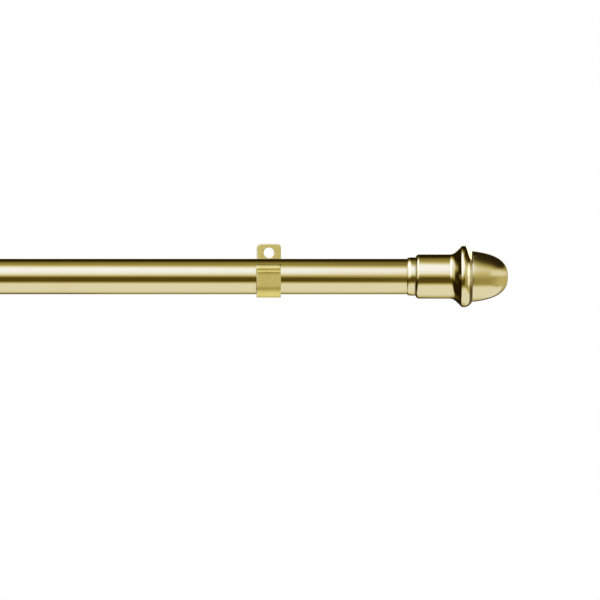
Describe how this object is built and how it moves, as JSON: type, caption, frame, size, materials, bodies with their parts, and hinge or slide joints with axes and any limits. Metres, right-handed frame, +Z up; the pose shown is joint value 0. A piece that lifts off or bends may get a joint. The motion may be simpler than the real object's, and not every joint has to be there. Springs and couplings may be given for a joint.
{
  "type": "cafe curtain rod",
  "caption": "Telescoping brass cafe curtain rod with stepped, dome-ended finials, resting in stamped cradle brackets that screw to a wall or window frame.",
  "frame": {"origin": "middle of the right bracket's two screw holes, on the wall plane", "axes": "+X along the rod to the right finial, +Y into the wall, +Z up"},
  "size_m": [0.8016, 0.0391, 0.0292],
  "materials": {
    "polished_brass": "polished",
    "satin_brass": "satin",
    "stamped_brass": "satin",
    "plated_steel": "satin",
    "nylon": "matte"
  },
  "bodies": {
    "outer": {"outer_tube": "polished_brass", "right_collar": "polished_brass", "right_cap": "polished_brass", "right_dome": "satin_brass", "right_stud": "plated_steel", "right_plug": "nylon", "right_bracket": "stamped_brass"},
    "inner": {"inner_tube": "polished_brass", "inner_glide": "nylon", "left_collar": "polished_brass", "left_cap": "polished_brass", "left_dome": "satin_brass", "left_stud": "plated_steel", "left_plug": "nylon", "left_reducer": "nylon", "left_bracket": "stamped_brass"}
  },
  "joints": [
    {"name": "rod_extension", "type": "slide", "parent": "outer", "child": "inner", "axis": [-1, 0, 0], "range_m": [0, 0.508]}
  ]
}
